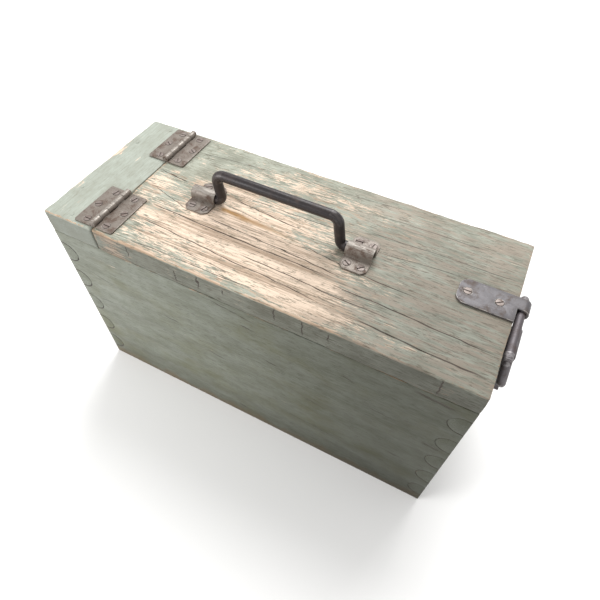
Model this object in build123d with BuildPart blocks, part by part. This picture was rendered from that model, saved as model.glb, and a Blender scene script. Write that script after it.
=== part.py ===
from build123d import *
import math
import os

# Small wooden shipping crate with a hinged lid, a swinging carry handle and a wire-bail draw latch.
# Millimetres. Origin at the centre of the underside, +X towards the latch end, +Z up.

# ---- overall sizes ----
crate_length = 400.0
crate_width = 161.0
crate_height = 236.0
top_thickness = 24.0
wall_thickness = 16.0
bottom_thickness = 12.0
bottom_tongue = 6.0  # thickness of the tongue round the top of the bottom panel
groove_depth = 6.0
groove_clearance = 0.2
lid_start = 53.5  # hinge line, measured from the hinge end
lid_gap = 0.8

# ---- rounded finger joints ----
finger_count = 5
finger_height = 24.0
finger_clearance = 0.1

# ---- hinges ----
hinge_spacing = 104.0
hinge_length = 50.0
leaf_reach = 20.5
leaf_thickness = 1.5
knuckle_radius = 3.0
hinge_pin_radius = 1.5
pin_clearance = 0.05
pin_chamfer = 0.4
leaf_screw_count = 3
knuckle_count = 5
knuckle_gap = 0.3
leaf_corner = 2.0
leaf_screw_pitch = 19.0
leaf_screw_line = 10.5  # from the hinge line to the outer two screws
leaf_screw_zigzag = 4.0

# ---- screws ----
screw_head_radius = 3.6
screw_shank_radius = 1.5
screw_length = 14.0
screw_point = 3.0
screw_raise = 0.3
slot_width = 0.9
slot_depth = 0.8
slot_turn = 37.0  # each screw's slot is turned on from the last, in degrees
seat_clearance = 0.05
hole_margin = 1.0  # how far a hole is cut past the screw or the sheet

# ---- carry handle and its brackets ----
handle_rod_radius = 4.6
handle_span = 115.6  # between the centre lines of the arms at the foot
handle_top_span = 115.6
handle_top_shift = -4.2  # the worn handle leans this far along the crate
handle_rise = 28.4
handle_bend_radius = 7.5
handle_foot_radius = 5.2
handle_pin_length = 28.0
handle_centre_x = -4.2
handle_lift = 0.4  # rod above the lid
bracket_length = 24.0
bracket_reach = 20.0
bracket_thickness = 1.5
bracket_corner = 4.0
bracket_clearance = 0.1
bracket_gap = 1.6  # from the arm of the handle to the bracket
bracket_screw_pitch = 12.5
bracket_screw_line = 13.5

# ---- latch: strap on the lid ----
latch_y = 3.0
strap_length = 46.0
strap_width = 26.0
strap_thickness = 2.0
tongue_width = 12.0
strap_corner = 8.0
strap_screw_inset = 7.5
strap_screw_pitch = 25.0
eye_clearance = 0.3
eye_wrap = 205.0  # degrees that the tongue curls round the bail
eye_gap = 0.8  # between the bail rod and the end of the crate

# ---- latch: bail ----
bail_rod_radius = 3.5
bail_width = 70.0
bail_shift = -12.0  # loose ring, slid to one side of the strap
bail_drop = 34.3
bail_bend_radius = 5.0

# ---- latch: lever ----
lever_width = 28.0
lever_thickness = 1.8
lever_length = 52.0
lever_pivot_out = 10.5  # pivot from the end face
lever_clearance = 0.1
lever_flange = 4.0
lever_lip = 5.0
nose_rise = 1.6
nose_thickness = 3.0
nose_width = 12.0

# ---- latch: catch plate ----
catch_width = 34.0
catch_length = 44.0
catch_thickness = 2.0
catch_hook_width = 16.0
catch_hook_reach = 11.0
catch_gap = 0.5
catch_screw_pitch = 22.0
catch_screw_drop = 14.0
catch_screw_rows = 22.0
catch_corner = 4.0

# ---- nails that hold the fixed top board ----
nail_radius = 1.4
nail_length = 44.0
nail_point = 4.2
nail_inset = 8.0
nail_side_x = 26.0  # the two nails into the side boards, from the hinge end
nail_end_spread = 80.0  # between the two nails into the end board
nail_clearance = 0.05

# ---- worked out from the sizes above ----
half_length = crate_length / 2
half_width = crate_width / 2
body_height = crate_height - top_thickness
inner_half_length = half_length - wall_thickness
inner_half_width = half_width - wall_thickness
hinge_x = lid_start - half_length
hinge_z = crate_height + knuckle_radius
finger_gap = (body_height - finger_count * finger_height) / (finger_count + 1)
finger_pitch = finger_height + finger_gap
finger_levels = [finger_gap + finger_height / 2 + i * finger_pitch for i in range(finger_count)]
handle_z = crate_height + handle_rod_radius + handle_lift
bracket_bore = handle_rod_radius + bracket_clearance
bracket_offset = handle_span / 2 + handle_rod_radius + bracket_gap
eye_bore = bail_rod_radius + eye_clearance
eye_x = half_length + bail_rod_radius + eye_gap
eye_z = crate_height - eye_bore
lever_x = half_length + lever_pivot_out
lever_z = eye_z - bail_drop
lever_bore = bail_rod_radius + lever_clearance
lever_knuckle = lever_bore + lever_thickness
catch_top = lever_z + lever_knuckle + nose_rise + catch_gap + catch_thickness
leaf_start = knuckle_radius + knuckle_gap  # plate of a leaf, from the hinge line
knuckle_pitch = hinge_length / knuckle_count
sink_angle = {
    sheet: 2 * math.degrees(math.atan((screw_head_radius - screw_shank_radius) / sheet))
    for sheet in (leaf_thickness, bracket_thickness, strap_thickness, catch_thickness)
}

os.makedirs("parts", exist_ok=True)


def save(piece, name):
    piece.label = name
    export_step(piece, f"parts/{name}.step")


# ---- where screws and nails sit ----
leaf_places = {
    way: [
        Pos(hinge_x + way * (leaf_screw_line + (leaf_screw_zigzag if row == 0 else 0)),
            side * hinge_spacing / 2 + row * leaf_screw_pitch,
            crate_height + leaf_thickness)
        for side in (-1, 1)
        for row in (-1, 0, 1)
    ]
    for way in (-1, 1)
}
bracket_centres = {
    "left": handle_centre_x - bracket_offset - bracket_length / 2,
    "right": handle_centre_x + bracket_offset + bracket_length / 2,
}
bracket_places = [
    Pos(centre + along * bracket_screw_pitch / 2, across * bracket_screw_line,
        crate_height + bracket_thickness)
    for centre in bracket_centres.values()
    for along in (-1, 1)
    for across in (-1, 1)
]
strap_places = [
    Pos(half_length - strap_length + strap_screw_inset + row * strap_screw_pitch, latch_y,
        crate_height + strap_thickness)
    for row in range(2)
]
catch_face = Plane(
    origin=(half_length + catch_thickness, latch_y, catch_top),
    x_dir=(0, 1, 0),
    z_dir=(1, 0, 0),
)
catch_places = [
    catch_face.location * Pos(side * catch_screw_pitch / 2, -drop)
    for side in (-1, 1)
    for drop in (catch_screw_drop, catch_screw_drop + catch_screw_rows)
]
nail_places = [
    Pos(-half_length + along, across, crate_height)
    for along, across in (
        (nail_side_x, -half_width + nail_inset),
        (nail_side_x, half_width - nail_inset),
        (nail_inset, -nail_end_spread / 2),
        (nail_inset, nail_end_spread / 2),
    )
]


def pilot_holes(places):
    """Holes for the screw shanks, cut in the board that is being built."""
    with Locations(*places):
        Hole(screw_shank_radius + seat_clearance, depth=screw_length + hole_margin)


def screw_seats(places, sheet):
    """Countersunk holes, cut in the sheet metal that is being built."""
    with Locations(*places):
        CounterSinkHole(
            screw_shank_radius + seat_clearance,
            screw_head_radius + seat_clearance,
            depth=sheet + hole_margin,
            counter_sink_angle=sink_angle[sheet],
        )


def nail_holes():
    """Holes left by the nails of the fixed top board."""
    with Locations(*nail_places):
        Hole(nail_radius + nail_clearance, depth=nail_length)


def finger_face(end, level, clearance):
    """Outline of one finger on the outside of a side board: straight at the corner, round inside."""
    reach = finger_height / 2 + clearance
    outer = end * half_length
    inner = end * (half_length - wall_thickness + finger_height / 2)
    with BuildSketch(Plane.XZ) as face:
        with BuildLine():
            Polyline(
                (inner, level + reach),
                (outer, level + reach),
                (outer, level - reach),
                (inner, level - reach),
            )
            ThreePointArc((inner, level - reach), (inner - end * reach, level), (inner, level + reach))
        make_face()
    return face.sketch


# ---- bottom panel, flush underneath, and the groove that holds its tongue ----
panel_length = 2 * (inner_half_length + groove_depth)
panel_width = 2 * (inner_half_width + groove_depth)
tongue_level = bottom_thickness - bottom_tongue
with BuildPart() as bottom_panel:
    with BuildSketch():
        Rectangle(2 * (inner_half_length - groove_clearance), 2 * (inner_half_width - groove_clearance))
    extrude(amount=bottom_thickness)
    with BuildSketch(Plane.XY.offset(tongue_level)):
        Rectangle(panel_length, panel_width)
    extrude(amount=bottom_tongue)
save(bottom_panel.part, "bottom_panel")

with BuildPart() as panel_groove:
    with BuildSketch(Plane.XY.offset(tongue_level - groove_clearance)):
        Rectangle(panel_length + 2 * groove_clearance, panel_width + 2 * groove_clearance)
    extrude(amount=bottom_tongue + 2 * groove_clearance)

# ---- side boards, with sockets for the fingers ----
for name, side in (("front_board", -1), ("back_board", 1)):
    with BuildPart() as side_board:
        with BuildSketch(Plane.XZ.offset(-side * half_width)):
            with Locations((0, body_height / 2)):
                Rectangle(crate_length, body_height)
        extrude(amount=side * wall_thickness)
        for end in (-1, 1):
            for level in finger_levels:
                socket = finger_face(end, level, finger_clearance)
                extrude(socket, amount=crate_width, both=True, mode=Mode.SUBTRACT)
        add(panel_groove.part, mode=Mode.SUBTRACT)
        nail_holes()
    save(side_board.part, name)

# ---- end boards, with the fingers ----
for name, end in (("hinge_end_board", -1), ("latch_end_board", 1)):
    with BuildPart() as end_board:
        with BuildSketch(Plane.YZ.offset(end * half_length)):
            with Locations((0, body_height / 2)):
                Rectangle(2 * inner_half_width, body_height)
        extrude(amount=-end * wall_thickness)
        for level in finger_levels:
            extrude(finger_face(end, level, 0), amount=half_width, both=True)
        add(panel_groove.part, mode=Mode.SUBTRACT)
        nail_holes()
        if end > 0:
            pilot_holes(catch_places)
    save(end_board.part, name)

# ---- top: a fixed board at the hinge end and the lid ----
fixed_length = lid_start - lid_gap / 2
with BuildPart() as fixed_top_board:
    with BuildSketch(Plane.XY.offset(body_height)):
        with Locations((-half_length + fixed_length / 2, 0)):
            Rectangle(fixed_length, crate_width)
    extrude(amount=top_thickness)
    nail_holes()
    pilot_holes(leaf_places[-1])
save(fixed_top_board.part, "fixed_top_board")

lid_length = crate_length - lid_start - lid_gap / 2
with BuildPart() as lid_board:
    with BuildSketch(Plane.XY.offset(body_height)):
        with Locations((half_length - lid_length / 2, 0)):
            Rectangle(lid_length, crate_width)
    extrude(amount=top_thickness)
    pilot_holes(leaf_places[1] + bracket_places + strap_places)
save(lid_board.part, "lid_board")

with BuildPart() as nail:
    with BuildSketch(Plane.XZ):
        with BuildLine():
            Polyline(
                (0, 0),
                (nail_radius, 0),
                (nail_radius, -nail_length + nail_point),
                (0, -nail_length),
                close=True,
            )
        make_face()
    revolve(axis=Axis.Z)
with BuildPart() as top_board_nails:
    with Locations(*nail_places):
        add(nail.part)
save(top_board_nails.part, "top_board_nails")


# ---- hinges ----
def knuckle_profile(way):
    """Section of a knuckle with the strip that joins it to its leaf."""
    with Locations((hinge_x, hinge_z)):
        Circle(knuckle_radius)
    with Locations((hinge_x + way * leaf_start / 2, crate_height + leaf_thickness / 2)):
        Rectangle(leaf_start, leaf_thickness)
    with Locations((hinge_x, hinge_z)):
        Circle(hinge_pin_radius + pin_clearance, mode=Mode.SUBTRACT)


for place, side in (("front", -1), ("rear", 1)):
    hinge_y = side * hinge_spacing / 2
    for leaf_name, way, first in (("fixed_leaf", -1, 0), ("lid_leaf", 1, 1)):
        with BuildPart() as leaf:
            with BuildSketch(Plane.XY.offset(crate_height)) as plate:
                with Locations((hinge_x + way * (leaf_start + leaf_reach) / 2, hinge_y)):
                    Rectangle(leaf_reach - leaf_start, hinge_length)
                fillet(plate.vertices().group_by(Axis.X)[-1 if way > 0 else 0], leaf_corner)
            extrude(amount=leaf_thickness)
            for index in range(first, knuckle_count, 2):
                knuckle_end = hinge_y - hinge_length / 2 + index * knuckle_pitch + knuckle_gap / 2
                with BuildSketch(Plane.XZ.offset(-knuckle_end)):
                    knuckle_profile(way)
                extrude(amount=-(knuckle_pitch - knuckle_gap))
            first_screw = leaf_screw_count if side > 0 else 0
            screw_seats(leaf_places[way][first_screw:first_screw + leaf_screw_count], leaf_thickness)
        save(leaf.part, f"{place}_hinge_{leaf_name}")
    with BuildPart() as pin:
        with BuildSketch(Plane.XZ.offset(-hinge_y + hinge_length / 2)):
            with Locations((hinge_x, hinge_z)):
                Circle(hinge_pin_radius)
        extrude(amount=-hinge_length)
        chamfer(pin.edges().filter_by(GeomType.CIRCLE), pin_chamfer)
    save(pin.part, f"{place}_hinge_pin")


# ---- screws ----
def wood_screws(places, sheet, name):
    """Slotted countersunk screws that stand a little proud of the sheet they hold down."""
    with BuildPart() as screw:
        with BuildSketch(Plane.XZ):
            with BuildLine():
                Polyline(
                    (0, screw_raise),
                    (screw_head_radius - screw_raise, screw_raise),
                    (screw_head_radius, 0),
                    (screw_shank_radius, -sheet),
                    (screw_shank_radius, -screw_length + screw_point),
                    (0, -screw_length),
                    close=True,
                )
            make_face()
        revolve(axis=Axis.Z)
        with BuildSketch(Plane.XY.offset(screw_raise)):
            Rectangle(2 * (screw_head_radius + hole_margin), slot_width)
        extrude(amount=-slot_depth, mode=Mode.SUBTRACT)
    with BuildPart() as group:
        for index, place in enumerate(places):
            with Locations(place * Rot(0, 0, index * slot_turn)):
                add(screw.part)
    save(group.part, name)


wood_screws(leaf_places[-1], leaf_thickness, "fixed_leaf_screws")
wood_screws(leaf_places[1], leaf_thickness, "lid_leaf_screws")
wood_screws(bracket_places, bracket_thickness, "bracket_screws")
wood_screws(strap_places, strap_thickness, "strap_screws")
wood_screws(catch_places, catch_thickness, "catch_screws")

# ---- carry handle: one bent rod whose ends turn outwards into the brackets ----
with BuildPart() as carry_handle:
    foot = handle_span / 2
    head = handle_top_span / 2
    top_centre_x = handle_centre_x + handle_top_shift
    with BuildLine(Plane.XZ) as handle_path:
        FilletPolyline(
            (handle_centre_x - foot - handle_pin_length, handle_z),
            (handle_centre_x - foot, handle_z),
            (top_centre_x - head, handle_z + handle_rise),
            (top_centre_x + head, handle_z + handle_rise),
            (handle_centre_x + foot, handle_z),
            (handle_centre_x + foot + handle_pin_length, handle_z),
            radius=[handle_foot_radius, handle_bend_radius, handle_bend_radius, handle_foot_radius],
        )
    with BuildSketch(Plane(origin=handle_path.line @ 0, z_dir=handle_path.line % 0)):
        Circle(handle_rod_radius)
    sweep(path=handle_path.line)
save(carry_handle.part, "carry_handle")

# ---- saddle brackets over the ends of the handle ----
saddle_radius = bracket_bore + bracket_thickness
saddle_height = handle_z - crate_height
for place, centre in bracket_centres.items():
    with BuildPart() as bracket:
        with BuildSketch(Plane.YZ.offset(centre - bracket_length / 2)):
            with Locations((0, handle_z)):
                Circle(saddle_radius)
            with Locations((0, crate_height + bracket_thickness / 2)):
                Rectangle(2 * bracket_reach, bracket_thickness)
            with Locations((0, crate_height + saddle_height / 2)):
                Rectangle(2 * saddle_radius, saddle_height)
                Rectangle(2 * bracket_bore, saddle_height, mode=Mode.SUBTRACT)
            with Locations((0, handle_z)):
                Circle(bracket_bore, mode=Mode.SUBTRACT)
            with Locations((0, crate_height - saddle_radius)):
                Rectangle(2 * saddle_radius, 2 * saddle_radius, mode=Mode.SUBTRACT)
        extrude(amount=bracket_length)
        uprights = bracket.edges().filter_by(Axis.Z)
        chamfer(uprights.group_by(Axis.Y)[0] + uprights.group_by(Axis.Y)[-1], bracket_corner)
        screw_seats([spot for spot in bracket_places if abs(spot.position.X - centre) < bracket_length],
                    bracket_thickness)
    save(bracket.part, f"{place}_handle_bracket")

# ---- latch strap, with a narrow tongue rolled into an eye past the end of the lid ----
eye_radius = eye_bore + strap_thickness
tongue_back = latch_y + strap_width / 2
with BuildPart() as lid_strap:
    with BuildSketch(Plane.XY.offset(crate_height)) as plate:
        with Locations((half_length - strap_length / 2, latch_y)):
            Rectangle(strap_length, strap_width)
        fillet(plate.vertices().group_by(Axis.X)[0], strap_corner)
    extrude(amount=strap_thickness)
    with BuildSketch(Plane.XZ.offset(-tongue_back)):
        with BuildLine():
            outer = CenterArc((eye_x, eye_z), eye_radius, 90, -eye_wrap)
            inner = CenterArc((eye_x, eye_z), eye_bore, 90, -eye_wrap)
            Line(outer @ 1, inner @ 1)
            Polyline(
                inner @ 0,
                (half_length - strap_thickness, eye_z + eye_bore),
                (half_length - strap_thickness, eye_z + eye_radius),
                outer @ 0,
            )
        make_face()
    extrude(amount=tongue_width)
    screw_seats(strap_places, strap_thickness)
save(lid_strap.part, "lid_strap")

# ---- bail: a closed ring of rod that hangs in the eye ----
bail_y = latch_y + bail_shift
bail_height = math.hypot(lever_x - eye_x, bail_drop)
bail_lean = math.atan2(lever_x - eye_x, bail_drop)
half_bail = bail_width / 2 - bail_rod_radius
bail_plane = Plane(
    origin=(eye_x, bail_y, eye_z),
    x_dir=(0, 1, 0),
    z_dir=(math.cos(bail_lean), 0, math.sin(bail_lean)),
)
with BuildSketch(bail_plane) as bail_outline:
    with Locations((0, -bail_height / 2)):
        RectangleRounded(2 * half_bail, bail_height, bail_bend_radius)
bail_path = bail_outline.sketch.face().outer_wire()
with BuildPart() as latch_bail:
    with BuildSketch(Plane(origin=bail_path @ 0, z_dir=bail_path % 0)):
        Circle(bail_rod_radius)
    sweep(path=bail_path)
save(latch_bail.part, "latch_bail")

# ---- lever: sheet rolled round the bail, with a nose above and a flanged grip below ----
lever_foot = lever_z - lever_length
plate_x = lever_x + (lever_bore + lever_knuckle) / 2
flange_top = lever_z - 2 * lever_knuckle
flange_foot = lever_foot + lever_knuckle
with BuildPart() as latch_lever:
    with BuildSketch(Plane.XZ.offset(-latch_y)):
        with Locations((lever_x, lever_z)):
            Circle(lever_knuckle)
        with Locations((plate_x, lever_z - lever_length / 2)):
            Rectangle(lever_thickness, lever_length)
        with Locations((lever_x + lever_bore + lever_lip / 2, lever_foot + lever_thickness / 2)):
            Rectangle(lever_lip, lever_thickness)
    extrude(amount=lever_width / 2, both=True)
    with BuildSketch(Plane.XZ.offset(-latch_y)):
        with Locations((lever_x, lever_z + (lever_knuckle + nose_rise) / 2)):
            Rectangle(nose_thickness, lever_knuckle + nose_rise)
    extrude(amount=nose_width / 2, both=True)
    for side in (-1, 1):
        flange_outer = latch_y + side * lever_width / 2
        with BuildSketch(Plane.XZ.offset(-flange_outer)):
            with Locations((plate_x - lever_flange / 2, (flange_top + flange_foot) / 2)):
                Rectangle(lever_flange, flange_top - flange_foot)
        extrude(amount=side * lever_thickness)
    with BuildSketch(Plane.XZ.offset(-latch_y)):
        with Locations((lever_x, lever_z)):
            Circle(lever_bore)
    extrude(amount=lever_width, both=True, mode=Mode.SUBTRACT)
save(latch_lever.part, "latch_lever")

# ---- catch plate on the end board, its top bent out over the nose of the lever ----
with BuildPart() as catch_plate:
    with BuildSketch(catch_face.offset(-catch_thickness)) as plate:
        with Locations((0, -catch_length / 2)):
            Rectangle(catch_width, catch_length)
        fillet(plate.vertices().group_by(Axis.Z)[0], catch_corner)
    extrude(amount=catch_thickness)
    with BuildSketch(Plane.XY.offset(catch_top)):
        with Locations((half_length + catch_hook_reach / 2, latch_y)):
            Rectangle(catch_hook_reach, catch_hook_width)
    extrude(amount=-catch_thickness)
    screw_seats(catch_places, catch_thickness)
save(catch_plate.part, "catch_plate")
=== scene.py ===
import math

import bmesh
import bpy
from mathutils import Matrix, Vector, noise


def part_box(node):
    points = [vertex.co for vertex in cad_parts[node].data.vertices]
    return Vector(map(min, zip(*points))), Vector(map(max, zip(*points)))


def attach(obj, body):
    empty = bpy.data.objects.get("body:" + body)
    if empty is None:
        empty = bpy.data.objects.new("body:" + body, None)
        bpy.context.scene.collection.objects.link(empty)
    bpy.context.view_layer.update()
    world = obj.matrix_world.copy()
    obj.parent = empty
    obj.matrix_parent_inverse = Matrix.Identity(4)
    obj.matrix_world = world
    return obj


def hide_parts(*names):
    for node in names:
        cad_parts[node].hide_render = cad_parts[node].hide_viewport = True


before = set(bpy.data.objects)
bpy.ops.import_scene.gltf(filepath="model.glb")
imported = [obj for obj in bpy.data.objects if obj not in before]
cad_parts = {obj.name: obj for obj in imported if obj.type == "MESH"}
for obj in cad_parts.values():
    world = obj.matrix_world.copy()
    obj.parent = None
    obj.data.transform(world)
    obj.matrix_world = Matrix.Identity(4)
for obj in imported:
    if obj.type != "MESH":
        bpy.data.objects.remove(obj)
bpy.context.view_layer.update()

mm = 0.001
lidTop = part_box("lid_board")[1][2]
sideLow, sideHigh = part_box("front_board")
frontFace = sideLow[1]
latchEnd = sideHigh[0]
print("frame loaded")


# small helpers for meshes
def deselectAll():
    if bpy.context.object and bpy.context.object.mode != "OBJECT":
        bpy.ops.object.mode_set(mode="OBJECT")
    bpy.ops.object.select_all(action="DESELECT")


def startEdit(piece):
    deselectAll()
    piece.select_set(True)
    bpy.context.view_layer.objects.active = piece
    bpy.ops.object.mode_set(mode="EDIT")
    bpy.ops.mesh.select_mode(type="EDGE")


def endEdit():
    bpy.ops.object.mode_set(mode="OBJECT")


def selectEdges(piece, wanted):
    cage = bmesh.from_edit_mesh(piece.data)
    bpy.ops.mesh.select_all(action="DESELECT")
    for edge in cage.edges:
        if wanted(edge):
            edge.select_set(True)
    bmesh.update_edit_mesh(piece.data)


def finishPiece(piece, name, body, material, smoothAngle=35):
    piece.name = name
    piece.data.name = name
    piece.data.materials.clear()
    piece.data.materials.append(material)
    deselectAll()
    piece.select_set(True)
    bpy.context.view_layer.objects.active = piece
    bpy.ops.object.shade_smooth_by_angle(angle=math.radians(smoothAngle))
    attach(piece, body)
    return piece


# small helpers for materials
def newMaterial(name):
    material = bpy.data.materials.new(name)
    material.use_nodes = True
    tree = material.node_tree
    tree.nodes.clear()
    output = tree.nodes.new("ShaderNodeOutputMaterial")
    shader = tree.nodes.new("ShaderNodeBsdfPrincipled")
    tree.links.new(shader.outputs[0], output.inputs[0])
    return material, tree, shader


def plug(tree, socket, value):
    if isinstance(value, bpy.types.NodeSocket):
        tree.links.new(value, socket)
    elif isinstance(value, (tuple, list)) and len(socket.default_value) == 4 and len(value) == 3:
        socket.default_value = (*value, 1)
    else:
        socket.default_value = value


def calc(tree, operation, first, second=0.5, clamp=False):
    node = tree.nodes.new("ShaderNodeMath")
    node.operation = operation
    node.use_clamp = clamp
    plug(tree, node.inputs[0], first)
    plug(tree, node.inputs[1], second)
    return node.outputs[0]


def chain(tree, operation, values):
    result = values[0]
    for value in values[1:]:
        result = calc(tree, operation, result, value)
    return result


def product(tree, *values):
    return chain(tree, "MULTIPLY", values)


def total(tree, *values):
    return chain(tree, "ADD", values)


def strongest(tree, *values):
    return chain(tree, "MAXIMUM", values)


def less(tree, first, second):
    return calc(tree, "SUBTRACT", first, second)


def unsigned(tree, value):
    return calc(tree, "ABSOLUTE", value)


def blendColour(tree, factor, first, second):
    node = tree.nodes.new("ShaderNodeMix")
    node.data_type = "RGBA"
    plug(tree, node.inputs[0], factor)
    plug(tree, node.inputs[6], first)
    plug(tree, node.inputs[7], second)
    return node.outputs[2]


def stretch(tree, value, low, high, toLow=0.0, toHigh=1.0):
    node = tree.nodes.new("ShaderNodeMapRange")
    node.interpolation_type = "SMOOTHSTEP"
    plug(tree, node.inputs[0], value)
    for socket, number in zip(node.inputs[1:5], (low, high, toLow, toHigh)):
        plug(tree, socket, number)
    return node.outputs[0]


def place(tree, scale, shift, turn):
    coords = tree.nodes.new("ShaderNodeTexCoord")
    mapping = tree.nodes.new("ShaderNodeMapping")
    mapping.inputs["Location"].default_value = shift
    mapping.inputs["Rotation"].default_value = [math.radians(angle) for angle in turn]
    mapping.inputs["Scale"].default_value = scale
    tree.links.new(coords.outputs["Object"], mapping.inputs[0])
    return mapping.outputs[0]


def grainNoise(tree, scale, detail=4.0, rough=0.6, distortion=0.0, shift=(0, 0, 0), turn=(0, 0, 0)):
    node = tree.nodes.new("ShaderNodeTexNoise")
    tree.links.new(place(tree, scale, shift, turn), node.inputs["Vector"])
    node.inputs["Scale"].default_value = 1.0
    node.inputs["Detail"].default_value = detail
    node.inputs["Roughness"].default_value = rough
    node.inputs["Distortion"].default_value = distortion
    return node.outputs[0]


def attribute(tree, name):
    node = tree.nodes.new("ShaderNodeAttribute")
    node.attribute_name = name
    return node.outputs["Fac"]


def position(tree):
    coords = tree.nodes.new("ShaderNodeTexCoord")
    split = tree.nodes.new("ShaderNodeSeparateXYZ")
    tree.links.new(coords.outputs["Object"], split.inputs[0])
    return split.outputs


def bump(tree, height, strength, distance, under=None):
    node = tree.nodes.new("ShaderNodeBump")
    node.inputs["Strength"].default_value = strength
    node.inputs["Distance"].default_value = distance
    tree.links.new(height, node.inputs["Height"])
    if under is not None:
        tree.links.new(under, node.inputs["Normal"])
    return node.outputs[0]


# looks of the boards: colours are linear, "along" is the axis of the grain and "slant" turns it, in degrees
lidLook = {
    "along": 0, "slant": 1.2,
    "paint": (0.40, 0.415, 0.345), "paintDark": (0.235, 0.24, 0.19),
    "bare": (0.76, 0.61, 0.48), "bareDark": (0.37, 0.275, 0.20), "bareEdge": (0.36, 0.24, 0.15),
    "split": (0.045, 0.033, 0.026), "grimeAndShade": (0.17, 0.145, 0.10), "fleck": (0.14, 0.125, 0.09),
    "bareness": 0.0, "streakShare": 0.62, "edgeGain": 0.10, "fleckAmount": 0.75, "greyAmount": 0.75,
    # darkFrom and darkRight darken towards the latch end, partly as painted shade; darkLow darkens towards the
    # bottom; edgeShade is painted shade on the faces below the top
    "darkFrom": -0.02, "darkRight": 0.60, "darkLow": 0.0, "edgeShade": 0.52, "dirtAmount": 0.26,
    "splits": True, "stains": True, "frontCracks": True, "strokes": [],
}
fixedTopLook = dict(
    lidLook, along=1, slant=0, paint=(0.38, 0.412, 0.36), paintDark=(0.305, 0.32, 0.27), bareness=-0.13,
    streakShare=0.3, splits=False, stains=False, frontCracks=False, edgeGain=0.17, darkRight=1.0,
    fleckAmount=0.22, greyAmount=0.0, edgeShade=0.66,
)
# the sides and ends take the grey-green paint of the top, set darker as painted shade of their upright faces
sideLook = dict(
    lidLook, slant=0, paint=(0.225, 0.24, 0.200), paintDark=(0.155, 0.163, 0.125), bareness=-0.15,
    grimeAndShade=(0.13, 0.125, 0.055), fleck=(0.055, 0.05, 0.032), streakShare=0.45, edgeGain=0.10,
    splits=False, stains=False, frontCracks=False, darkFrom=-0.11, darkRight=0.45, darkLow=0.30,
    fleckAmount=0.50, greyAmount=0.0, edgeShade=1.0, dirtAmount=0.42,
    strokes=[  # marks on the front face: start and end, along the crate and up, and width, in mm
        {"from": (-179, 167), "to": (-148, 158), "width": 0.9},
        {"from": (-33, 209), "to": (16, 201), "width": 1.3},
        {"from": (0, 190), "to": (12, 189), "width": 1.6},
        {"from": (96, 182), "to": (107, 180), "width": 2.0},
        {"from": (-182, 120), "to": (-160, 122), "width": 0.7},
        {"from": (-92, 146), "to": (-74, 144), "width": 1.2},
        {"from": (-46, 116), "to": (-22, 112), "width": 0.8},
        {"from": (22, 148), "to": (34, 147), "width": 1.4},
        {"from": (60, 112), "to": (84, 108), "width": 0.8},
        {"from": (-16, 20), "to": (-8, 19), "width": 2.4},
        {"from": (118, 150), "to": (150, 146), "width": 0.7},
        {"from": (150, 82), "to": (170, 80), "width": 1.0},
        {"from": (150, 207), "to": (188, 203), "width": 3.0},
        {"from": (174, 132), "to": (192, 129), "width": 3.0},
        {"from": (-120, 96), "to": (-70, 92), "width": 0.6},
        {"from": (40, 60), "to": (110, 55), "width": 0.7},
    ],
)
endLook = dict(sideLook, along=1, strokes=[])
topSplits = [  # long splits of the lid: start and end, along and across it, and width, in mm
    {"from": (-146, 17), "to": (-108, 12), "width": 0.9},
    {"from": (-134, -6), "to": (-88, -21), "width": 0.5},
    {"from": (-119, -29), "to": (60, -33), "width": 0.8},
    {"from": (-60, 11), "to": (28, 4), "width": 0.75},
    {"from": (-68, -20), "to": (72, -28), "width": 0.75},
    {"from": (-119, -48), "to": (64, -60), "width": 0.7},
    {"from": (-112, -75), "to": (18, -72), "width": 0.45},
    {"from": (-66, 18), "to": (52, 20), "width": 0.4},
    {"from": (-124, 56), "to": (-50, 64), "width": 0.4},
    {"from": (-104, 36), "to": (-20, 41), "width": 0.35},
    {"from": (-20, -45), "to": (118, -50), "width": 0.7},
    {"from": (20, -12), "to": (134, -22), "width": 0.6},
    {"from": (64, -38), "to": (198, -45), "width": 0.8},
    {"from": (92, -62), "to": (199, -66), "width": 1.0},
    {"from": (70, 30), "to": (199, 34), "width": 0.4},
    {"from": (84, 12), "to": (196, 20), "width": 0.35},
    {"from": (60, 52), "to": (170, 56), "width": 0.35},
    {"from": (-10, 66), "to": (90, 70), "width": 0.3},
    {"from": (-90, -64), "to": (-6, -66), "width": 0.4},
    {"from": (-74, 3), "to": (-8, -4), "width": 0.4},
]
lineShape = {  # soft rims as shares of the width, and soft ends: a share of the length or at most so many mm
    "soft": (0.75, 0.25), "fade": 0.3, "startMost": 12, "endMost": 22, "before": 2, "after": 4,
}
topSkin = (4, 2.5)  # splits and stain fade out between these depths below the top, in mm
frontCracks = {  # across the front edge of the lid: place along it, start and end below its top, in mm
    "marks": [
        (-109, 3, 15), (-60, 8, 21), (-37, 3, 17), (-13, 6, 12),
        (34, 2, 16), (59, 3, 20), (81, 5, 14), (168, 2, 22),
    ],
    "width": 0.45, "soft": (1.6, 0.5), "wander": 2.6, "wanderScale": 260, "wanderStep": 3.7, "depth": (2.2, 1.2),
}
knot = {"x": -37, "below": 9, "radius": 2.6}
hairCracks = {  # short cracks, one possible line in each narrow lane of the grain
    "lane": 2.3, "jitter": 0.6, "run": 26.0, "laneStep": 7.31, "presence": (0.50, 0.66), "width": (0.13, 0.03),
    "onBare": 0.55, "onPaint": 0.25,
}
stain = {
    "from": (-63, -4), "to": (24, -10), "width": 4.4, "ragged": 8, "start": (-0.05, 0.05), "end": (1.15, 0.1),
    "strength": 0.9, "colour": (0.26, 0.135, 0.035),
}
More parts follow.
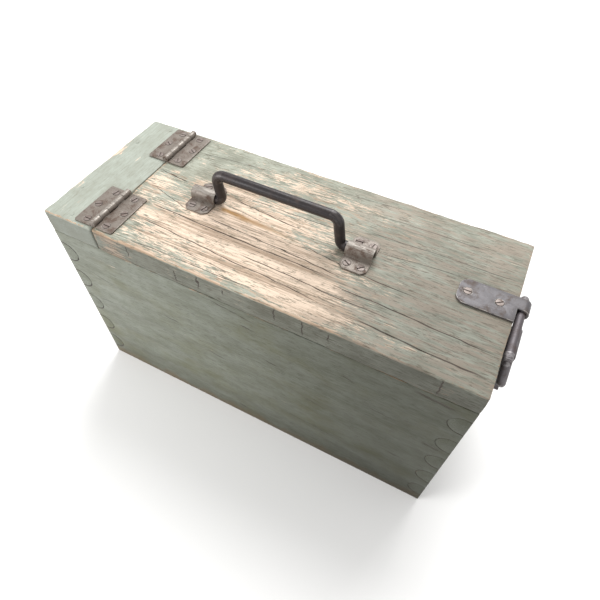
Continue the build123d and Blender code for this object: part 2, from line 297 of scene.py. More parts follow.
woodPatterns = {  # scale across and along the grain, detail, roughness, distortion, shift, turned with it or not
    "fibre": (900, 22, 4, 0.7, 0.0, (0, 0, 0), True),
    "bands": (110, 4, 4, 0.6, 0.3, (0.3, 0.1, 0), True),
    "patches": (70, 26, 5, 0.62, 0.5, (4.1, 2.3, 0.7), False),
    "streaks": (700, 85, 5, 0.72, 0.0, (1.7, 0, 0), True),
    "flecks": (820, 110, 4, 0.7, 0.0, (5.1, 2.0, 0), True),
    "mottle": (60, 30, 5, 0.65, 0.0, (2.2, 5.0, 1.0), False),
    "grey": (260, 34, 5, 0.7, 0.0, (9.4, 1.1, 0), True),
}
plainPatterns = {  # scale in x, y and z, detail, roughness, shift
    "stainEdge": ((60, 200, 60), 4, 0.6, (0, 0, 0)),
    "rising": ((45, 45, 12), 5, 0.65, (0, 0, 0)),
    "blotches": ((14, 22, 22), 5, 0.66, (0.2, 8, 3)),
    "jointFaint": ((55, 55, 55), 4, 0.7, (3.3, 0.4, 6.0)),
    "strokeEdge": ((90, 0, 30), 4, 0.7, (0, 0, 0)),
}
woodTones = {
    "bareBands": 0.6, "bareFibre": 0.5, "bareRange": (0.43, 0.60), "edgeTone": 0.75,
    "paintMottle": 0.45, "paintFibre": 0.25, "paintStreaks": 0.40, "paintRange": (0.44, 0.66),
    "paintRim": (0.50, 0.545), "insideGain": 0.4, "cornerGain": 0.8, "cornerRagged": 12,
    "greyRange": (0.43, 0.57), "greyRun": (0.015, 0.09), "greyColour": (0.36, 0.295, 0.235),
    "fleckRange": (0.54, 0.62), "lineStrength": 0.93,
    "strokeStrength": 0.8, "strokeRagged": 6.0, "strokeGrain": (0.38, 0.52), "strokeDepth": (1.5, 0.8),
    "jointRange": (0.62, 0.48), "jointFaintest": 0.12, "jointFade": 0.4,
}
# darkening towards the latch end and the front (partly painted shade), darker towards the bottom, rising stains,
# and dirt blotches
woodDirtAndShade = {
    "latchSide": 0.17, "frontShare": (0.12, -0.03, 0.25, 1.0), "low": (0.075, -0.01),
    "risingRagged": 0.034, "risingFade": -0.014, "risingStrength": 0.7, "risingColour": (0.20, 0.135, 0.07),
    "blotchRange": (0.48, 0.70), "shadeShare": 0.25,
}
woodSurface = {
    "roughPaint": 0.60, "roughBare": 0.88, "specular": 0.25, "fibreOnBare": 0.8, "fibreOnPaint": 0.25,
    "fibreBump": (0.5, 0.4), "paintBump": (0.4, 0.15), "splitBump": (0.8, 0.5),  # strength, and height in mm
}


def woodPattern(tree, look, name):
    across, along, detail, rough, distortion, shift, turned = woodPatterns[name]
    scale = [across] * 3
    scale[look["along"]] = along
    return grainNoise(tree, scale, detail, rough, distortion, shift, (0, 0, look["slant"] if turned else 0))


def plainPattern(tree, name):
    scale, detail, rough, shift = plainPatterns[name]
    return grainNoise(tree, scale, detail, rough, shift=shift)


def belowTop(tree, here, start, end):
    return stretch(tree, here[2], lidTop - start * mm, lidTop - end * mm)


def behindFront(tree, here, start, end):
    return stretch(tree, here[1], frontFace + start * mm, frontFace + end * mm)


def frontCrackLines(tree, here):
    outer, inner = [frontCracks["width"] * mm * share for share in frontCracks["soft"]]
    lines = []
    for index, (x, top, end) in enumerate(frontCracks["marks"]):
        away = (index * frontCracks["wanderStep"], 0, 0)
        wander = grainNoise(tree, (0, 0, frontCracks["wanderScale"]), 3, 0.7, shift=away)
        shift = product(tree, less(tree, wander, 0.5), frontCracks["wander"] * mm * 2)
        offset = unsigned(tree, less(tree, total(tree, here[0], shift), x * mm))
        line = stretch(tree, offset, outer, inner)
        upper, lower = belowTop(tree, here, top - 1, top + 1), belowTop(tree, here, end + 2, end - 3)
        lines.append(product(tree, line, upper, lower))
    across = less(tree, here[0], knot["x"] * mm)
    down = less(tree, here[2], lidTop - knot["below"] * mm)
    reach = calc(tree, "SQRT", total(tree, product(tree, across, across), product(tree, down, down)))
    spot = stretch(tree, reach, knot["radius"] * mm, knot["radius"] * mm * 0.5)
    return product(tree, strongest(tree, *lines, spot), behindFront(tree, here, *frontCracks["depth"]))


def drawnLines(tree, here, grain, marks):
    # "grain" is the distance across the grain in mm; the lid's mesh keeps it, so that line and groove agree
    lines = []
    for mark in marks:
        (x0, y0), (x1, y1) = mark["from"], mark["to"]
        middle = tree.nodes.new("ShaderNodeMapRange")
        middle.clamp = False
        plug(tree, middle.inputs[0], here[0])
        for socket, number in zip(middle.inputs[1:5], (x0 * mm, x1 * mm, y0, y1)):
            socket.default_value = number
        offset = unsigned(tree, less(tree, grain, middle.outputs[0]))
        line = stretch(tree, offset, *[mark["width"] * share for share in lineShape["soft"]])
        fade = lineShape["fade"] * (x1 - x0)
        start, end = x0 + min(lineShape["startMost"], fade), x1 - min(lineShape["endMost"], fade)
        begin = stretch(tree, here[0], (x0 - lineShape["before"]) * mm, start * mm)
        finish = stretch(tree, here[0], (x1 + lineShape["after"]) * mm, end * mm)
        lines.append(product(tree, line, begin, finish))
    return strongest(tree, *lines)


def hairLines(tree, here, grain):
    lane = calc(tree, "DIVIDE", grain, hairCracks["lane"])
    number = calc(tree, "FLOOR", lane)
    dice = tree.nodes.new("ShaderNodeTexWhiteNoise")
    dice.noise_dimensions = "1D"
    tree.links.new(number, dice.inputs["W"])
    jitter = total(tree, product(tree, dice.outputs[0], hairCracks["jitter"]), (1 - hairCracks["jitter"]) / 2)
    offset = unsigned(tree, less(tree, calc(tree, "FRACT", lane), jitter))
    spot = tree.nodes.new("ShaderNodeCombineXYZ")
    plug(tree, spot.inputs[0], product(tree, here[0], hairCracks["run"]))
    plug(tree, spot.inputs[1], product(tree, number, hairCracks["laneStep"]))
    presence = tree.nodes.new("ShaderNodeTexNoise")
    presence.inputs["Scale"].default_value = 1.0
    presence.inputs["Detail"].default_value = 2.0
    tree.links.new(spot.outputs[0], presence.inputs["Vector"])
    strength = stretch(tree, presence.outputs[0], *hairCracks["presence"])
    return product(tree, stretch(tree, offset, *hairCracks["width"]), strength)


def stainStreak(tree, here):
    (x0, y0), (x1, y1) = stain["from"], stain["to"]
    run = calc(tree, "DIVIDE", less(tree, here[0], x0 * mm), (x1 - x0) * mm)
    middle = total(tree, product(tree, run, (y1 - y0) * mm), y0 * mm)
    ragged = product(tree, less(tree, plainPattern(tree, "stainEdge"), 0.5), stain["ragged"] * mm)
    offset = unsigned(tree, total(tree, less(tree, here[1], middle), ragged))
    band = stretch(tree, offset, stain["width"] * mm, 0.0)
    ends = stretch(tree, run, *stain["start"]), stretch(tree, run, *stain["end"])
    return product(tree, band, *ends, belowTop(tree, here, *topSkin))


def wornEdges(tree, here, streaks):
    # the upright corners of the box wear as its eased edges do
    ragged = total(tree, unsigned(tree, here[0]), product(tree, streaks, woodTones["cornerRagged"] * mm))
    corner = stretch(tree, ragged, latchEnd + 6 * mm, latchEnd + 8 * mm)
    return strongest(tree, attribute(tree, "edgeWearAndSheen"), product(tree, corner, woodTones["cornerGain"]))


def insideBox(tree, here):
    return product(
        tree, stretch(tree, unsigned(tree, here[0]), latchEnd - 3 * mm, latchEnd - 6 * mm),
        stretch(tree, unsigned(tree, here[1]), -frontFace - 3 * mm, -frontFace - 6 * mm),
        belowTop(tree, here, 6, 9),
    )


def bareWood(tree, look, here, streaks, edge):
    # where the paint has gone: streaks along the grain, more of them in the worn zones and on the edges
    share = look["streakShare"]
    gone = total(
        tree, product(tree, woodPattern(tree, look, "patches"), 1 - share), product(tree, streaks, share),
        product(tree, edge, look["edgeGain"]), total(tree, attribute(tree, "bareZone"), look["bareness"]),
        product(tree, insideBox(tree, here), woodTones["insideGain"]),
    )
    return stretch(tree, gone, *woodTones["paintRim"])


def boardColour(tree, look, here, streaks, fibre, edge, bareMask):
    tones = woodTones
    bareTone = total(
        tree, product(tree, woodPattern(tree, look, "bands"), tones["bareBands"]),
        product(tree, fibre, tones["bareFibre"]),
    )
    bare = blendColour(tree, stretch(tree, bareTone, *tones["bareRange"]), look["bareDark"], look["bare"])
    rubbed = calc(tree, "MULTIPLY", edge, tones["edgeTone"], clamp=True)
    bare = blendColour(tree, rubbed, bare, look["bareEdge"])
    paintTone = total(
        tree, product(tree, woodPattern(tree, look, "mottle"), tones["paintMottle"]),
        product(tree, fibre, tones["paintFibre"]), product(tree, streaks, tones["paintStreaks"]),
    )
    paint = blendColour(tree, stretch(tree, paintTone, *tones["paintRange"]), look["paintDark"], look["paint"])
    colour = blendColour(tree, bareMask, paint, bare)
    if look["greyAmount"]:  # towards the latch the paint has worn to grey-brown streaks
        grey = product(
            tree, stretch(tree, woodPattern(tree, look, "grey"), *tones["greyRange"]),
            stretch(tree, here[0], *tones["greyRun"]), belowTop(tree, here, 2.4, 1.2),
        )
        colour = blendColour(tree, product(tree, grey, look["greyAmount"]), colour, tones["greyColour"])
    specks = stretch(tree, woodPattern(tree, look, "flecks"), *tones["fleckRange"])
    return blendColour(tree, product(tree, specks, look["fleckAmount"]), colour, look["fleck"])


def soiledAndShaded(tree, look, here, colour):
    # painted shade and dirt: darker towards the latch end and the front, partly painted shade and partly grime;
    # darker towards the bottom of the sides; painted shade on the faces below the top; and dirt in soft blotches
    dirtAndShade = woodDirtAndShade
    # painted shade: the latch end and the front get less light, and are darkened here together with grime
    towardsLatch = stretch(tree, here[0], look["darkFrom"], dirtAndShade["latchSide"])
    towardsLatch = product(tree, towardsLatch, stretch(tree, here[1], *dirtAndShade["frontShare"]))
    darker = less(tree, 1.0, product(tree, towardsLatch, 1 - look["darkRight"]))
    # darker towards the bottom of the sides
    low = product(tree, stretch(tree, here[2], *dirtAndShade["low"]), look["darkLow"])
    darker = product(tree, darker, less(tree, 1.0, low))
    # painted shade: the faces below the top are darkened, as they get less light than the top
    if look["edgeShade"] < 1:
        below = product(tree, belowTop(tree, here, 1.2, 2.4), 1 - look["edgeShade"])
        darker = product(tree, darker, less(tree, 1.0, below))
    if look["darkLow"]:  # brown stains that rise from the floor
        ragged = product(tree, plainPattern(tree, "rising"), dirtAndShade["risingRagged"])
        rising = stretch(tree, less(tree, here[2], ragged), 0.0, dirtAndShade["risingFade"])
        colour = blendColour(tree, product(tree, rising, dirtAndShade["risingStrength"]), colour, dirtAndShade["risingColour"])
    blotches = stretch(tree, plainPattern(tree, "blotches"), *dirtAndShade["blotchRange"], 0.0, look["dirtAmount"])
    # the grime colour follows the dirt blotches and also the painted shade
    grimeAndShadeMix = total(tree, blotches, product(tree, less(tree, 1.0, darker), dirtAndShade["shadeShare"]))
    colour = blendColour(tree, grimeAndShadeMix, colour, look["grimeAndShade"])
    shade = tree.nodes.new("ShaderNodeHueSaturation")
    plug(tree, shade.inputs["Value"], darker)
    tree.links.new(colour, shade.inputs["Color"])
    return shade.outputs[0]


def boardLines(tree, look, here, streaks, bareMask):
    faint = total(tree, plainPattern(tree, "jointFaint"), product(tree, here[0], woodTones["jointFade"]))
    faint = stretch(tree, faint, *woodTones["jointRange"], woodTones["jointFaintest"], 1.0)
    lines = product(tree, attribute(tree, "jointAndRimShade"), faint)
    if look["splits"]:
        grain = attribute(tree, "grain")
        shown = total(tree, product(tree, bareMask, hairCracks["onBare"]), hairCracks["onPaint"])
        hair = product(tree, hairLines(tree, here, grain), shown)
        drawn = strongest(tree, drawnLines(tree, here, grain, topSplits), hair)
        lines = strongest(tree, lines, product(tree, drawn, belowTop(tree, here, *topSkin)))
    if look["frontCracks"]:
        lines = strongest(tree, lines, frontCrackLines(tree, here))
    if look["strokes"]:
        ragged = product(tree, less(tree, plainPattern(tree, "strokeEdge"), 0.5), woodTones["strokeRagged"])
        level = total(tree, calc(tree, "DIVIDE", here[2], mm), ragged)
        marks = product(
            tree, drawnLines(tree, here, level, look["strokes"]),
            stretch(tree, streaks, *woodTones["strokeGrain"]), behindFront(tree, here, *woodTones["strokeDepth"]),
        )
        lines = strongest(tree, lines, product(tree, marks, woodTones["strokeStrength"]))
    return lines


def woodFinish(name, look):
    material, tree, shader = newMaterial(name)
    here = position(tree)
    fibre = woodPattern(tree, look, "fibre")
    streaks = woodPattern(tree, look, "streaks")
    edge = wornEdges(tree, here, streaks)
    bareMask = bareWood(tree, look, here, streaks, edge)
    colour = boardColour(tree, look, here, streaks, fibre, edge, bareMask)
    colour = soiledAndShaded(tree, look, here, colour)
    lines = boardLines(tree, look, here, streaks, bareMask)
    if look["stains"]:
        soaked = product(tree, stainStreak(tree, here), stain["strength"])
        colour = blendColour(tree, soaked, colour, stain["colour"])
    darkLines = calc(tree, "MULTIPLY", lines, woodTones["lineStrength"], clamp=True)
    colour = blendColour(tree, darkLines, colour, look["split"])
    tree.links.new(colour, shader.inputs["Base Color"])
    roughness = stretch(tree, bareMask, 0, 1, woodSurface["roughPaint"], woodSurface["roughBare"])
    plug(tree, shader.inputs["Roughness"], roughness)
    shader.inputs["Specular IOR Level"].default_value = woodSurface["specular"]

    strength = total(tree, product(tree, bareMask, woodSurface["fibreOnBare"]), woodSurface["fibreOnPaint"])
    heights = (product(tree, fibre, strength), less(tree, 1.0, bareMask), less(tree, 1.0, lines))
    normal = None
    for height, key in zip(heights, ("fibreBump", "paintBump", "splitBump")):
        amount, depth = woodSurface[key]
        normal = bump(tree, height, amount, depth * mm, normal)
    tree.links.new(normal, shader.inputs["Normal"])
    return material


# looks of the metal: "rustFrom" and "rustTo" set how much of it rusts, "scale" how fine the patches are
pressedSteel = {
    "steel": (0.222, 0.192, 0.165), "bright": (0.58, 0.55, 0.50), "rust": (0.092, 0.056, 0.038),
    "rustFrom": 0.44, "rustTo": 0.66, "metal": 0.35, "rough": 0.48, "scale": 110, "wear": 0.62,
}
latchSteel = dict(
    pressedSteel, steel=(0.108, 0.102, 0.108), rust=(0.085, 0.06, 0.048), rustFrom=0.44, rustTo=0.70,
)
looseSteel = dict(latchSteel, steel=(0.10, 0.088, 0.095), rust=(0.065, 0.042, 0.035), bright=(0.40, 0.38, 0.38))
screwSteel = dict(pressedSteel, steel=(0.24, 0.20, 0.18), rust=(0.10, 0.06, 0.045), rustTo=0.75, scale=160)
gripSteel = {
    "steel": (0.028, 0.024, 0.025), "bright": (0.15, 0.13, 0.125), "rust": (0.048, 0.031, 0.026),
    "rustFrom": 0.45, "rustTo": 0.70, "metal": 0.3, "rough": 0.34, "scale": 60, "wear": 0.3,
}
steelWear = {
    "patchShare": 0.75, "speckShare": 0.25, "wornRange": (0.38, 0.62), "scratchRange": (0.66, 0.80),
    "scratchMost": 0.45, "freckleRange": (0.4, 0.9), "freckleMost": 0.35,
    # rimShade is painted shade in the screw slots and around the screw heads
    "rimShade": (0.02, 0.014, 0.011), "rimShadeAmount": 0.85, "rustDull": 0.7, "rustRough": 0.28,
    "wornSmooth": 0.14, "speckBump": (0.35, 0.12), "patchBump": (0.5, 0.6),  # strength, and height in mm
}


def steelFinish(name, look):
    material, tree, shader = newMaterial(name)
    wear, fine = steelWear, look["scale"]
    patches = grainNoise(tree, (fine, fine, fine), 5, 0.62, 0.4, shift=(0.4, 0.9, 0.2))
    specks = grainNoise(tree, (fine * 9,) * 3, 4, 0.65)
    scratches = grainNoise(tree, (fine * 1.5, fine * 12, fine * 3), 3, 0.6, turn=(0, 0, 17))
    rusty = total(tree, product(tree, patches, wear["patchShare"]), product(tree, specks, wear["speckShare"]))
    rusty = stretch(tree, rusty, look["rustFrom"], look["rustTo"])
    # bright where edges are worn, where scratches run, and on the painted highlight of the upward crowns
    wornAndLit = product(
        tree, attribute(tree, "edgeWearAndSheen"), stretch(tree, scratches, *wear["wornRange"]), look["wear"],
    )
    wornAndLit = strongest(tree, wornAndLit, stretch(tree, scratches, *wear["scratchRange"], 0.0, wear["scratchMost"]))
    colour = blendColour(tree, rusty, look["steel"], look["rust"])
    freckles = stretch(tree, specks, *wear["freckleRange"], 0.0, wear["freckleMost"])
    colour = blendColour(tree, freckles, colour, look["rust"])
    colour = blendColour(tree, wornAndLit, colour, look["bright"])
    # painted shade: the narrow strips of the screws, in the slot and around the head, are darkened
    rings = product(tree, attribute(tree, "jointAndRimShade"), wear["rimShadeAmount"])
    colour = blendColour(tree, rings, colour, wear["rimShade"])
    tree.links.new(colour, shader.inputs["Base Color"])
    metal = product(tree, less(tree, 1.0, product(tree, rusty, wear["rustDull"])), look["metal"])
    tree.links.new(metal, shader.inputs["Metallic"])
    rough = total(tree, product(tree, rusty, wear["rustRough"]), look["rough"])
    rough = less(tree, rough, product(tree, wornAndLit, wear["wornSmooth"]))
    tree.links.new(rough, shader.inputs["Roughness"])
    normal = None
    for height, key in ((specks, "speckBump"), (patches, "patchBump")):
        amount, depth = wear[key]
        normal = bump(tree, height, amount, depth * mm, normal)
    tree.links.new(normal, shader.inputs["Normal"])
    return material


materials = {
    "lid": woodFinish("weatheredShadedLid", lidLook),
    "fixedTop": woodFinish("paintedShadedTop", fixedTopLook),
    "side": woodFinish("paintedShadedSide", sideLook),
    "end": woodFinish("paintedShadedEnd", endLook),
    "pressed": steelFinish("rustedSheet", pressedSteel),
    "latch": steelFinish("latchMetal", latchSteel),
    "loose": steelFinish("looseMetal", looseSteel),
    "screw": steelFinish("screwMetal", screwSteel),
    "grip": steelFinish("blackGrip", gripSteel),
}
print("materials made")


# boards of the top, cut fine enough to carry worn edges and open splits; places, sizes and depths in mm
lidPlank = {
    "cuts": (130, 220, 9), "edge": 1.3, "edgeChange": 1.2, "dents": 0.35, "splits": topSplits,
    "splitDepth": 1.1, "wave": (2.2, 17, 14), "ripple": (0.55, 75, 26),
    "bareBase": -0.085,
    "bareSpots": [
        {"at": (-52, -43), "size": (62, 40), "gain": 0.19},
        {"at": (25, -45), "size": (58, 30), "gain": 0.19},
        {"at": (-10, 10), "size": (80, 34), "gain": 0.13},
        {"at": (20, 60), "size": (64, 22), "gain": 0.065},
        {"at": (54, -62), "size": (34, 20), "gain": 0.12},
        {"at": (-70, 30), "size": (40, 30), "gain": 0.06},
        {"at": (-132, -6), "size": (14, 18), "gain": 0.13},
        {"at": (-106, -42), "size": (36, 30), "gain": 0.07},
        {"at": (78, -70), "size": (40, 9), "gain": 0.08},
    ],
    "edgeSpots": [{"at": -128, "size": 17, "gain": 0.15}, {"at": 174, "size": 12, "gain": 0.06}],
}
fixedPlank = {
    "cuts": (44, 120, 9), "edge": 1.3, "edgeChange": 1.0, "dents": 0.2, "splits": [], "splitDepth": 0.0,
    "wave": (1.5, 17, 14), "ripple": (0.5, 75, 26),
    "bareBase": 0.0,
    "bareSpots": [
        {"at": (-196, 30), "size": (5, 40), "gain": 0.12},
        {"at": (-196, -40), "size": (4, 14), "gain": 0.14},
    ],
    "nails": [(-174, -72.5), (-174, 72.5), (-192, -40), (-192, 40)], "nailSink": 0.3, "nailReach": 3.0,
    "edgeSpots": [{"at": -195, "size": 8, "gain": 0.08}],
}
plankWear = {
    "chipScale": 45, "smallChipScale": 140, "smallChipShare": 0.6, "leastEdge": 0.3,
    "rubbedWidth": 2.6, "rubbedChange": 0.9, "splitReach": 0.9, "splitEnds": 6, "rim": 0.9,
    "dentScale": (9, 60), "edgeBase": -0.11, "smoothAngle": 50,
}


def gridBox(low, high, cuts):
    centre = [(a + b) / 2 for a, b in zip(low, high)]
    deselectAll()
    bpy.ops.mesh.primitive_cube_add(size=1, location=centre, scale=[b - a for a, b in zip(low, high)])
    block = bpy.context.object
    bpy.ops.object.transform_apply(location=True, rotation=True, scale=True)
    startEdit(block)
    for axis in range(3):
        def alongAxis(edge, axis=axis):
            run = edge.verts[1].co - edge.verts[0].co
            return abs(run[axis]) > 0.999 * run.length

        selectEdges(block, alongAxis)
        bpy.ops.mesh.subdivide(number_cuts=cuts[axis])
    endEdit()
    return block


def grainPlace(look, spot):
    # distance across the wavy grain, in mm
    amount, alongX, acrossY = look["wave"]
    across = spot.y / mm + amount * noise.noise((spot.x * alongX, spot.y * acrossY, 4.2))
    amount, alongX, acrossY = look["ripple"]
    return across + amount * noise.noise((spot.x * alongX, spot.y * acrossY, 9.1))


def splitDepth(look, x, grain):
    deepest = 0.0
    reach, ends = plankWear["splitReach"], plankWear["splitEnds"]
    for split in look["splits"]:
        (x0, y0), (x1, y1) = split["from"], split["to"]
        run = (x / mm - x0) / (x1 - x0)
        if 0 < run < 1:
            offset = abs(grain - (y0 + run * (y1 - y0)))
            if offset < reach:
                taper = min(1, ends * run, ends * (1 - run))
                deepest = max(deepest, (1 - offset / reach) * split["width"] * taper)
    return deepest


def bareZone(look, x, y):
    amount = look["bareBase"]
    for spot in look["bareSpots"]:
        (atX, atY), (sizeX, sizeY) = spot["at"], spot["size"]
        amount += spot["gain"] * math.exp(-(((x / mm - atX) / sizeX) ** 2 + ((y / mm - atY) / sizeY) ** 2))
    return amount


def edgeZone(look, x):
    amount = plankWear["edgeBase"]
    for spot in look["edgeSpots"]:
        amount += spot["gain"] * math.exp(-((x / mm - spot["at"]) / spot["size"]) ** 2)
    return amount


def wornPlank(nodeName, name, body, material, look):
    wear = plankWear
    low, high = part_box(nodeName)
    block = gridBox(low, high, look["cuts"])
    mesh = block.data
    keys = ("edgeWearAndSheen", "grain", "bareZone", "jointAndRimShade")
    for key in keys:
        mesh.attributes.new(key, "FLOAT", "POINT")
    marks = {key: mesh.attributes[key].data for key in keys}
    for vertex in mesh.vertices:
        start, index = vertex.co.copy(), vertex.index
        spot = start.copy()
        chip = noise.noise(spot * wear["chipScale"])
        chip += wear["smallChipShare"] * noise.noise(spot * wear["smallChipScale"])
        radius = look["edge"] * mm * max(wear["leastEdge"], 1 + look["edgeChange"] * chip)
        inner = Vector([min(max(spot[k], low[k] + radius), high[k] - radius) for k in range(3)])
        out = spot - inner
        far = max(abs(part) for part in out)
        if far > 0 and out.length > 0:
            spot = inner + out * (far / out.length)
        near = sorted(min(start[k] - low[k], high[k] - start[k]) for k in range(3))
        grain = grainPlace(look, start)
        onTop = start.z > high[2] - 0.01 * mm
        rubbed = wear["rubbedWidth"] * mm * max(wear["leastEdge"], 1 + wear["rubbedChange"] * chip)
        marks["edgeWearAndSheen"][index].value = max(0.0, 1 - near[1] / rubbed)
        marks["grain"][index].value = grain
        marks["bareZone"][index].value = bareZone(look, spot.x, spot.y) if onTop else edgeZone(look, spot.x)
        if onTop and near[1] > wear["rim"] * mm:
            alongX, acrossY = wear["dentScale"]
            hollow = look["dents"] * mm * max(0.0, noise.noise((spot.x * alongX, spot.y * acrossY, 1.5)))
            spot.z -= look["splitDepth"] * mm * splitDepth(look, spot.x, grain) + hollow
            for x, y in look.get("nails", ()):
                if math.hypot(spot.x - x * mm, spot.y - y * mm) < look["nailReach"] * mm:
                    spot.z -= look["nailSink"] * mm
        vertex.co = spot
    piece = finishPiece(block, name, body, material, wear["smoothAngle"])
    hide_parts(nodeName)
    return piece


wornPlank("lid_board", "lidBoardWorn", "lid", materials["lid"], lidPlank)
wornPlank("fixed_top_board", "fixedTopWorn", "crate", materials["fixedTop"], fixedPlank)
print("top boards made")


# pieces that keep their cut shape and only lose their sharp edges; lengths in mm, angles in degrees
easedEdges = {
    "mergeWithin": 0.002, "flatWithin": 1.0, "sharp": 30, "screwSharp": 25, "segments": 2, "narrow": 0.9,
    "outline": 1.0, "rubbed": 0.7, "upright": 0.8, "darkStrip": 0.95, "board": 0.6, "screw": 0.5,
}


def easedCopy(nodeName, name, body, material, edge, litCrown=0, jointed=False, ringed=False):
    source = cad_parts[nodeName]
    piece = source.copy()
    piece.data = source.data.copy()
    piece.parent = None
    for key in list(piece.keys()):
        del piece[key]
    bpy.context.scene.collection.objects.link(piece)
    startEdit(piece)
    bpy.ops.mesh.select_all(action="SELECT")
    bpy.ops.mesh.remove_doubles(threshold=easedEdges["mergeWithin"] * mm)
    bpy.ops.mesh.dissolve_limited(angle_limit=math.radians(easedEdges["flatWithin"]))
    bpy.ops.mesh.select_all(action="DESELECT")
    sharp = easedEdges["screwSharp" if ringed else "sharp"]
    bpy.ops.mesh.edges_select_sharp(sharpness=math.radians(sharp))
    bpy.ops.mesh.bevel(
        offset=edge * mm, segments=easedEdges["segments"], affect="EDGES", clamp_overlap=not jointed,
    )
    endEdit()
    mesh = piece.data
    low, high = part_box(nodeName)
    wear, jointAndRimShade = [], []
    for polygon in mesh.polygons:  # the narrow strips are the eased edges; those inside the outline are joints; on screws all narrow strips carry painted shade in the slot and around the head
        around = sum((mesh.vertices[a].co - mesh.vertices[b].co).length for a, b in polygon.edge_keys)
        narrow = 2 * polygon.area < easedEdges["narrow"] * edge * mm * around
        spot = polygon.center
        close = sorted(min(spot[k] - low[k], high[k] - spot[k]) for k in range(3))
        # painted highlight: faces near the top that face upward are marked as rubbed metal, where the light makes
        # them bright
        onLitCrown = litCrown and spot.z > high[2] - litCrown * mm and polygon.normal.z > easedEdges["upright"]
        dark = narrow and (ringed or (jointed and close[1] >= easedEdges["outline"] * mm))
        wear.append(1.0 if narrow and not dark else easedEdges["rubbed"] if onLitCrown else 0.0)
        jointAndRimShade.append(easedEdges["darkStrip"] if dark else 0.0)
    for key, values in (("edgeWearAndSheen", wear), ("jointAndRimShade", jointAndRimShade)):
        mesh.attributes.new(key, "FLOAT", "FACE").data.foreach_set("value", values)
    finishPiece(piece, name, body, material)
    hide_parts(nodeName)
    return piece


easedBoards = {
    "front_board": ("frontBoardWorn", "side"),
    "back_board": ("backBoardWorn", "side"),
    "hinge_end_board": ("hingeEndWorn", "end"),
    "latch_end_board": ("latchEndWorn", "end"),
}
for nodeName, (name, finish) in easedBoards.items():
    easedCopy(nodeName, name, "crate", materials[finish], easedEdges["board"], jointed=True)
print("side and end boards made")

easedMetal = {  # new name, body, slot, finish, width of the eased edges and height of the crown, whose upward faces get a painted highlight carried as rubbed metal
    "front_hinge_fixed_leaf": ("frontFixedLeaf", "crate", "rusted_steel", "pressed", 0.22, 1.3),
    "rear_hinge_fixed_leaf": ("rearFixedLeaf", "crate", "rusted_steel", "pressed", 0.22, 1.3),
    "front_hinge_lid_leaf": ("frontLidLeaf", "lid", "rusted_steel", "pressed", 0.22, 1.3),
    "rear_hinge_lid_leaf": ("rearLidLeaf", "lid", "rusted_steel", "pressed", 0.22, 1.3),
    "left_handle_bracket": ("leftSaddle", "lid", "rusted_steel", "pressed", 0.3, 1.2),
    "right_handle_bracket": ("rightSaddle", "lid", "rusted_steel", "pressed", 0.3, 1.2),
    "lid_strap": ("lidStrapWorn", "lid", "latch_steel", "latch", 0.35, 0),
    "latch_lever": ("latchLeverWorn", "lever", "latch_steel", "loose", 0.3, 0),
    "catch_plate": ("catchPlateWorn", "crate", "latch_steel", "loose", 0.3, 0),
    "carry_handle": ("carryGrip", "handle", "black_steel", "grip", 0.5, 0),
    "latch_bail": ("bailRing", "bail", "latch_steel", "loose", 0.5, 0),
}
for nodeName, (name, body, slot, finish, edge, litCrown) in easedMetal.items():
    easedCopy(nodeName, name, body, materials[finish], edge, litCrown)
screwGroups = {
    "fixed_leaf_screws": ("fixedLeafScrews", "crate"),
    "lid_leaf_screws": ("lidLeafScrews", "lid"),
    "bracket_screws": ("saddleScrews", "lid"),
    "strap_screws": ("strapScrews", "lid"),
    "catch_screws": ("catchScrews", "crate"),
}
for nodeName, (name, body) in screwGroups.items():
    easedCopy(nodeName, name, body, materials["screw"], easedEdges["screw"], ringed=True)
print("metal pieces made")

cadKept = {  # nodes that keep their CAD shape, and the finish of each
    "bottom_panel": "side", "top_board_nails": "fixedTop",
    "front_hinge_pin": "screw", "rear_hinge_pin": "screw",
}
for nodeName, finish in cadKept.items():
    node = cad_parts[nodeName]
    node.data.materials.clear()
    node.data.materials.append(materials[finish])


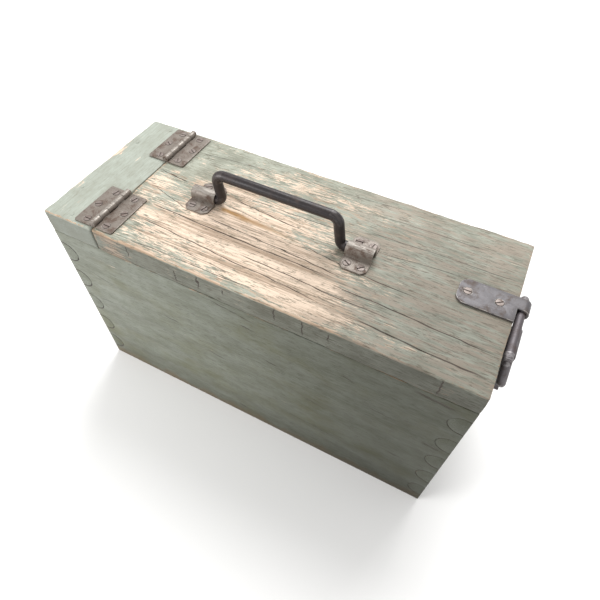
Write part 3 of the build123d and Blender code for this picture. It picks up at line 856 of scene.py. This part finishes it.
# floor, light and camera; places in metres
studio = {
    "floor": (0.93, 0.925, 0.915), "floorShade": 0.99, "floorSize": 14, "sky": 0.67, "aimHeight": 0.12,
    "keyPlace": (-0.08, 1.25, 1.9), "keySize": 1.6, "keyPower": 51,
    "fillPlace": (-1.1, -0.95, 0.8), "fillSize": 0.9, "fillPower": 15,
}
view = {
    "place": (0.14786, -0.26736, 0.52963), "target": (0.00885, 0.01705, 0.1180), "roll": 1.24, "lens": 28.81,
    "sensor": 36,
}
deselectAll()
bpy.ops.mesh.primitive_plane_add(size=studio["floorSize"], location=(0, 0, 0))
floor = bpy.context.object
floor.name = "floor"
floorMaterial, tree, shader = newMaterial("paleFloor")
shade = grainNoise(tree, (3, 3, 3), 2)
darkFloor = [part * studio["floorShade"] for part in studio["floor"]]
tree.links.new(blendColour(tree, shade, studio["floor"], darkFloor), shader.inputs["Base Color"])
shader.inputs["Roughness"].default_value = 0.9
floor.data.materials.append(floorMaterial)


def areaLight(name, spot, size, power):
    light = bpy.data.lights.new(name, "AREA")
    light.shape = "DISK"
    light.size = size
    light.energy = power
    lamp = bpy.data.objects.new(name, light)
    lamp.location = spot
    aim = Vector((0, 0, studio["aimHeight"])) - Vector(spot)
    lamp.rotation_euler = aim.to_track_quat("-Z", "Y").to_euler()
    bpy.context.scene.collection.objects.link(lamp)


areaLight("key", studio["keyPlace"], studio["keySize"], studio["keyPower"])
areaLight("fill", studio["fillPlace"], studio["fillSize"], studio["fillPower"])
world = bpy.data.worlds.new("softRoom")
world.use_nodes = True
world.node_tree.nodes["Background"].inputs[0].default_value = (1, 1, 1, 1)
world.node_tree.nodes["Background"].inputs[1].default_value = studio["sky"]
bpy.context.scene.world = world
bpy.context.scene.view_settings.view_transform = "Standard"

cameraData = bpy.data.cameras.new("camera")
cameraData.lens = view["lens"]
cameraData.sensor_width = view["sensor"]
camera = bpy.data.objects.new("camera", cameraData)
back = (Vector(view["place"]) - Vector(view["target"])).normalized()
right = Vector((0, 0, 1)).cross(back).normalized()
up = back.cross(right)
roll = math.radians(view["roll"])
rolledRight = right * math.cos(roll) + up * math.sin(roll)
rolledUp = up * math.cos(roll) - right * math.sin(roll)
turned = Matrix((rolledRight, rolledUp, back)).transposed().to_4x4()
camera.matrix_world = Matrix.Translation(view["place"]) @ turned
bpy.context.scene.collection.objects.link(camera)
bpy.context.scene.camera = camera
print("floor, light and camera set")
